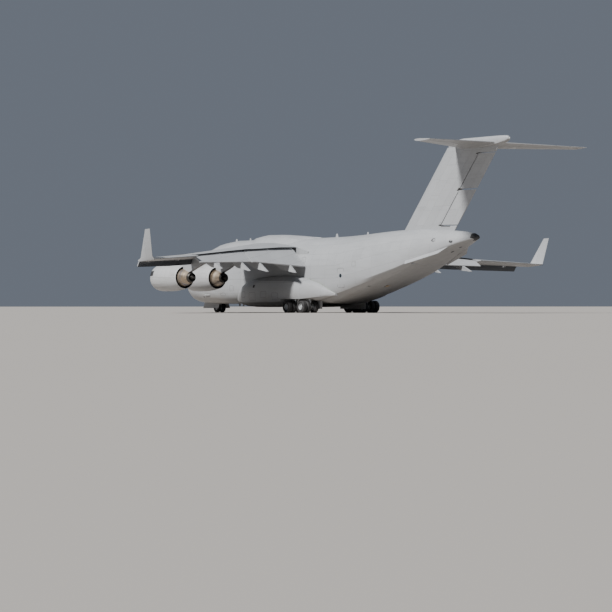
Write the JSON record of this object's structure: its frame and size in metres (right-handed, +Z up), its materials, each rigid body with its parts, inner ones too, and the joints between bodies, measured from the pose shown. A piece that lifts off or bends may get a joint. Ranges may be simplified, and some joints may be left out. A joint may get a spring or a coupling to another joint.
{
  "type": "military transport plane, 1:2 scale model",
  "caption": "High-wing four-engined jet transport plane with a T tail, winglets, rear loading ramp and a hollow hold, on its gear with flaps part down.",
  "frame": {"origin": "on the ground, in the middle of the overall length and on the centre line", "axes": "+X towards the nose, +Y towards the left wing tip, +Z up"},
  "size_m": [26.52, 25.8324, 8.3925],
  "materials": {
    "grey_paint": "satin",
    "radome_paint": "satin",
    "cab_glass": "gloss",
    "floor_metal": "satin",
    "interior": "matte",
    "cowl_paint": "satin",
    "hot_metal": "satin",
    "fan_metal": "satin",
    "gear_paint": "gloss",
    "tyre": "matte"
  },
  "bodies": {
    "airframe": {"radome": "radome_paint", "fuselage_forward": "grey_paint", "windscreen": "cab_glass", "flight_deck": "interior", "fuselage_centre": "grey_paint", "cargo_floor": "floor_metal", "fuselage_aft": "grey_paint", "wing_fairing": "grey_paint", "wing_left": "grey_paint", "slats_left": "grey_paint", "wheel_pod_left": "grey_paint", "main_gear_left": "gear_paint", "main_gear_door_left": "grey_paint", "nose_gear_door_left": "grey_paint", "wing_right": "grey_paint", "slats_right": "grey_paint", "wheel_pod_right": "grey_paint", "main_gear_right": "gear_paint", "main_gear_door_right": "grey_paint", "nose_gear_door_right": "grey_paint", "fin": "grey_paint", "tailplane": "grey_paint", "nacelle_left_outboard": "cowl_paint", "engine_left_outboard": "hot_metal", "pylon_left_outboard": "grey_paint", "nacelle_left_inboard": "cowl_paint", "engine_left_inboard": "hot_metal", "pylon_left_inboard": "grey_paint", "nacelle_right_inboard": "cowl_paint", "engine_right_inboard": "hot_metal", "pylon_right_inboard": "grey_paint", "nacelle_right_outboard": "cowl_paint", "engine_right_outboard": "hot_metal", "pylon_right_outboard": "grey_paint", "nose_gear_post": "gear_paint"},
    "crew_door": {"crew_door": "grey_paint"},
    "cargo_ramp": {"cargo_ramp": "grey_paint"},
    "aft_cargo_door": {"aft_cargo_door": "grey_paint"},
    "flap_left_inboard": {"flap_left_inboard": "grey_paint"},
    "flap_left_outboard": {"flap_left_outboard": "grey_paint"},
    "aileron_left": {"aileron_left": "grey_paint"},
    "main_wheels_left_front": {"main_wheels_left_front": "tyre"},
    "main_wheels_left_rear": {"main_wheels_left_rear": "tyre"},
    "flap_right_inboard": {"flap_right_inboard": "grey_paint"},
    "flap_right_outboard": {"flap_right_outboard": "grey_paint"},
    "aileron_right": {"aileron_right": "grey_paint"},
    "main_wheels_right_front": {"main_wheels_right_front": "tyre"},
    "main_wheels_right_rear": {"main_wheels_right_rear": "tyre"},
    "rudder_lower": {"rudder_lower": "grey_paint"},
    "rudder_upper": {"rudder_upper": "grey_paint"},
    "elevator_left": {"elevator_left": "grey_paint"},
    "elevator_right": {"elevator_right": "grey_paint"},
    "fan_left_outboard": {"fan_left_outboard": "fan_metal"},
    "fan_left_inboard": {"fan_left_inboard": "fan_metal"},
    "fan_right_inboard": {"fan_right_inboard": "fan_metal"},
    "fan_right_outboard": {"fan_right_outboard": "fan_metal"},
    "nose_gear_fork": {"nose_gear_fork": "gear_paint"},
    "nose_wheels": {"nose_wheels": "tyre"}
  },
  "joints": [
    {"name": "crew_door_hinge", "type": "hinge", "parent": "airframe", "child": "crew_door", "pos_m": [9.135, 1.5825, 0.94], "axis": [-1, 0, 0], "range_deg": [0, 125]},
    {"name": "cargo_ramp_hinge", "type": "hinge", "parent": "airframe", "child": "cargo_ramp", "pos_m": [-1.04, 0, 0.745], "axis": [0, -1, 0], "range_deg": [0, 22]},
    {"name": "aft_cargo_door_hinge", "type": "hinge", "parent": "airframe", "child": "aft_cargo_door", "pos_m": [-7.39, 0, 2.42375], "axis": [0, -1, 0], "range_deg": [0, 32]},
    {"name": "flap_left_inboard_hinge", "type": "hinge", "parent": "airframe", "child": "flap_left_inboard", "pos_m": [1.67431, 2.8, 2.64796], "axis": [0.245, -0.9694, -0.0174], "range_deg": [-28, 12]},
    {"name": "flap_left_outboard_hinge", "type": "hinge", "parent": "airframe", "child": "flap_left_outboard", "pos_m": [0.75095, 6.2, 2.65777], "axis": [0.3047, -0.9519, 0.0329], "range_deg": [-28, 12]},
    {"name": "aileron_left_hinge", "type": "hinge", "parent": "airframe", "child": "aileron_left", "pos_m": [-0.24879, 9.31, 2.78152], "axis": [0.3847, -0.9214, 0.0542], "range_deg": [-20, 15]},
    {"name": "main_wheels_left_front_spin", "type": "hinge", "parent": "airframe", "child": "main_wheels_left_front", "pos_m": [1.035, 1.85, 0.31268], "axis": [0, 1, 0], "continuous": true},
    {"name": "main_wheels_left_rear_spin", "type": "hinge", "parent": "airframe", "child": "main_wheels_left_rear", "pos_m": [-0.175, 1.85, 0.31268], "axis": [0, 1, 0], "continuous": true},
    {"name": "flap_right_inboard_hinge", "type": "hinge", "parent": "airframe", "child": "flap_right_inboard", "pos_m": [1.67431, -2.8, 2.64796], "axis": [-0.245, -0.9694, 0.0174], "range_deg": [-28, 12]},
    {"name": "flap_right_outboard_hinge", "type": "hinge", "parent": "airframe", "child": "flap_right_outboard", "pos_m": [0.75095, -6.2, 2.65777], "axis": [-0.3047, -0.9519, -0.0329], "range_deg": [-28, 12]},
    {"name": "aileron_right_hinge", "type": "hinge", "parent": "airframe", "child": "aileron_right", "pos_m": [-0.24879, -9.31, 2.78152], "axis": [-0.3847, -0.9214, -0.0542], "range_deg": [-20, 15]},
    {"name": "main_wheels_right_front_spin", "type": "hinge", "parent": "airframe", "child": "main_wheels_right_front", "pos_m": [1.035, -1.85, 0.31268], "axis": [0, 1, 0], "continuous": true},
    {"name": "main_wheels_right_rear_spin", "type": "hinge", "parent": "airframe", "child": "main_wheels_right_rear", "pos_m": [-0.175, -1.85, 0.31268], "axis": [0, 1, 0], "continuous": true},
    {"name": "rudder_lower_hinge", "type": "hinge", "parent": "airframe", "child": "rudder_lower", "pos_m": [-8.44994, 0, 4.28], "axis": [-0.6309, 0, 0.7759], "range_deg": [-25, 25]},
    {"name": "rudder_upper_hinge", "type": "hinge", "parent": "airframe", "child": "rudder_upper", "pos_m": [-9.85254, 0, 6.005], "axis": [-0.6309, 0, 0.7759], "range_deg": [-25, 25]},
    {"name": "elevator_left_hinge", "type": "hinge", "parent": "airframe", "child": "elevator_left", "pos_m": [-11.66026, 0.425, 8.06427], "axis": [0.2743, -0.9615, 0.0152], "range_deg": [-20, 15]},
    {"name": "elevator_right_hinge", "type": "hinge", "parent": "airframe", "child": "elevator_right", "pos_m": [-11.66026, -0.425, 8.06427], "axis": [-0.2743, -0.9615, -0.0152], "range_deg": [-20, 15]},
    {"name": "fan_left_outboard_spin", "type": "hinge", "parent": "airframe", "child": "fan_left_outboard", "pos_m": [0, 7, 1.8], "axis": [1, 0, 0], "continuous": true},
    {"name": "fan_left_inboard_spin", "type": "hinge", "parent": "airframe", "child": "fan_left_inboard", "pos_m": [0, 4.05, 1.81], "axis": [1, 0, 0], "continuous": true},
    {"name": "fan_right_inboard_spin", "type": "hinge", "parent": "airframe", "child": "fan_right_inboard", "pos_m": [0, -4.05, 1.81], "axis": [1, 0, 0], "continuous": true},
    {"name": "fan_right_outboard_spin", "type": "hinge", "parent": "airframe", "child": "fan_right_outboard", "pos_m": [0, -7, 1.8], "axis": [1, 0, 0], "continuous": true},
    {"name": "nose_gear_steer", "type": "hinge", "parent": "airframe", "child": "nose_gear_fork", "pos_m": [10.46, 0, 0.25014], "axis": [0, 0, 1], "range_deg": [-65, 65]},
    {"name": "nose_wheels_spin", "type": "hinge", "parent": "nose_gear_fork", "child": "nose_wheels", "pos_m": [10.46, 0, 0.25014], "axis": [0, 1, 0], "continuous": true}
  ]
}
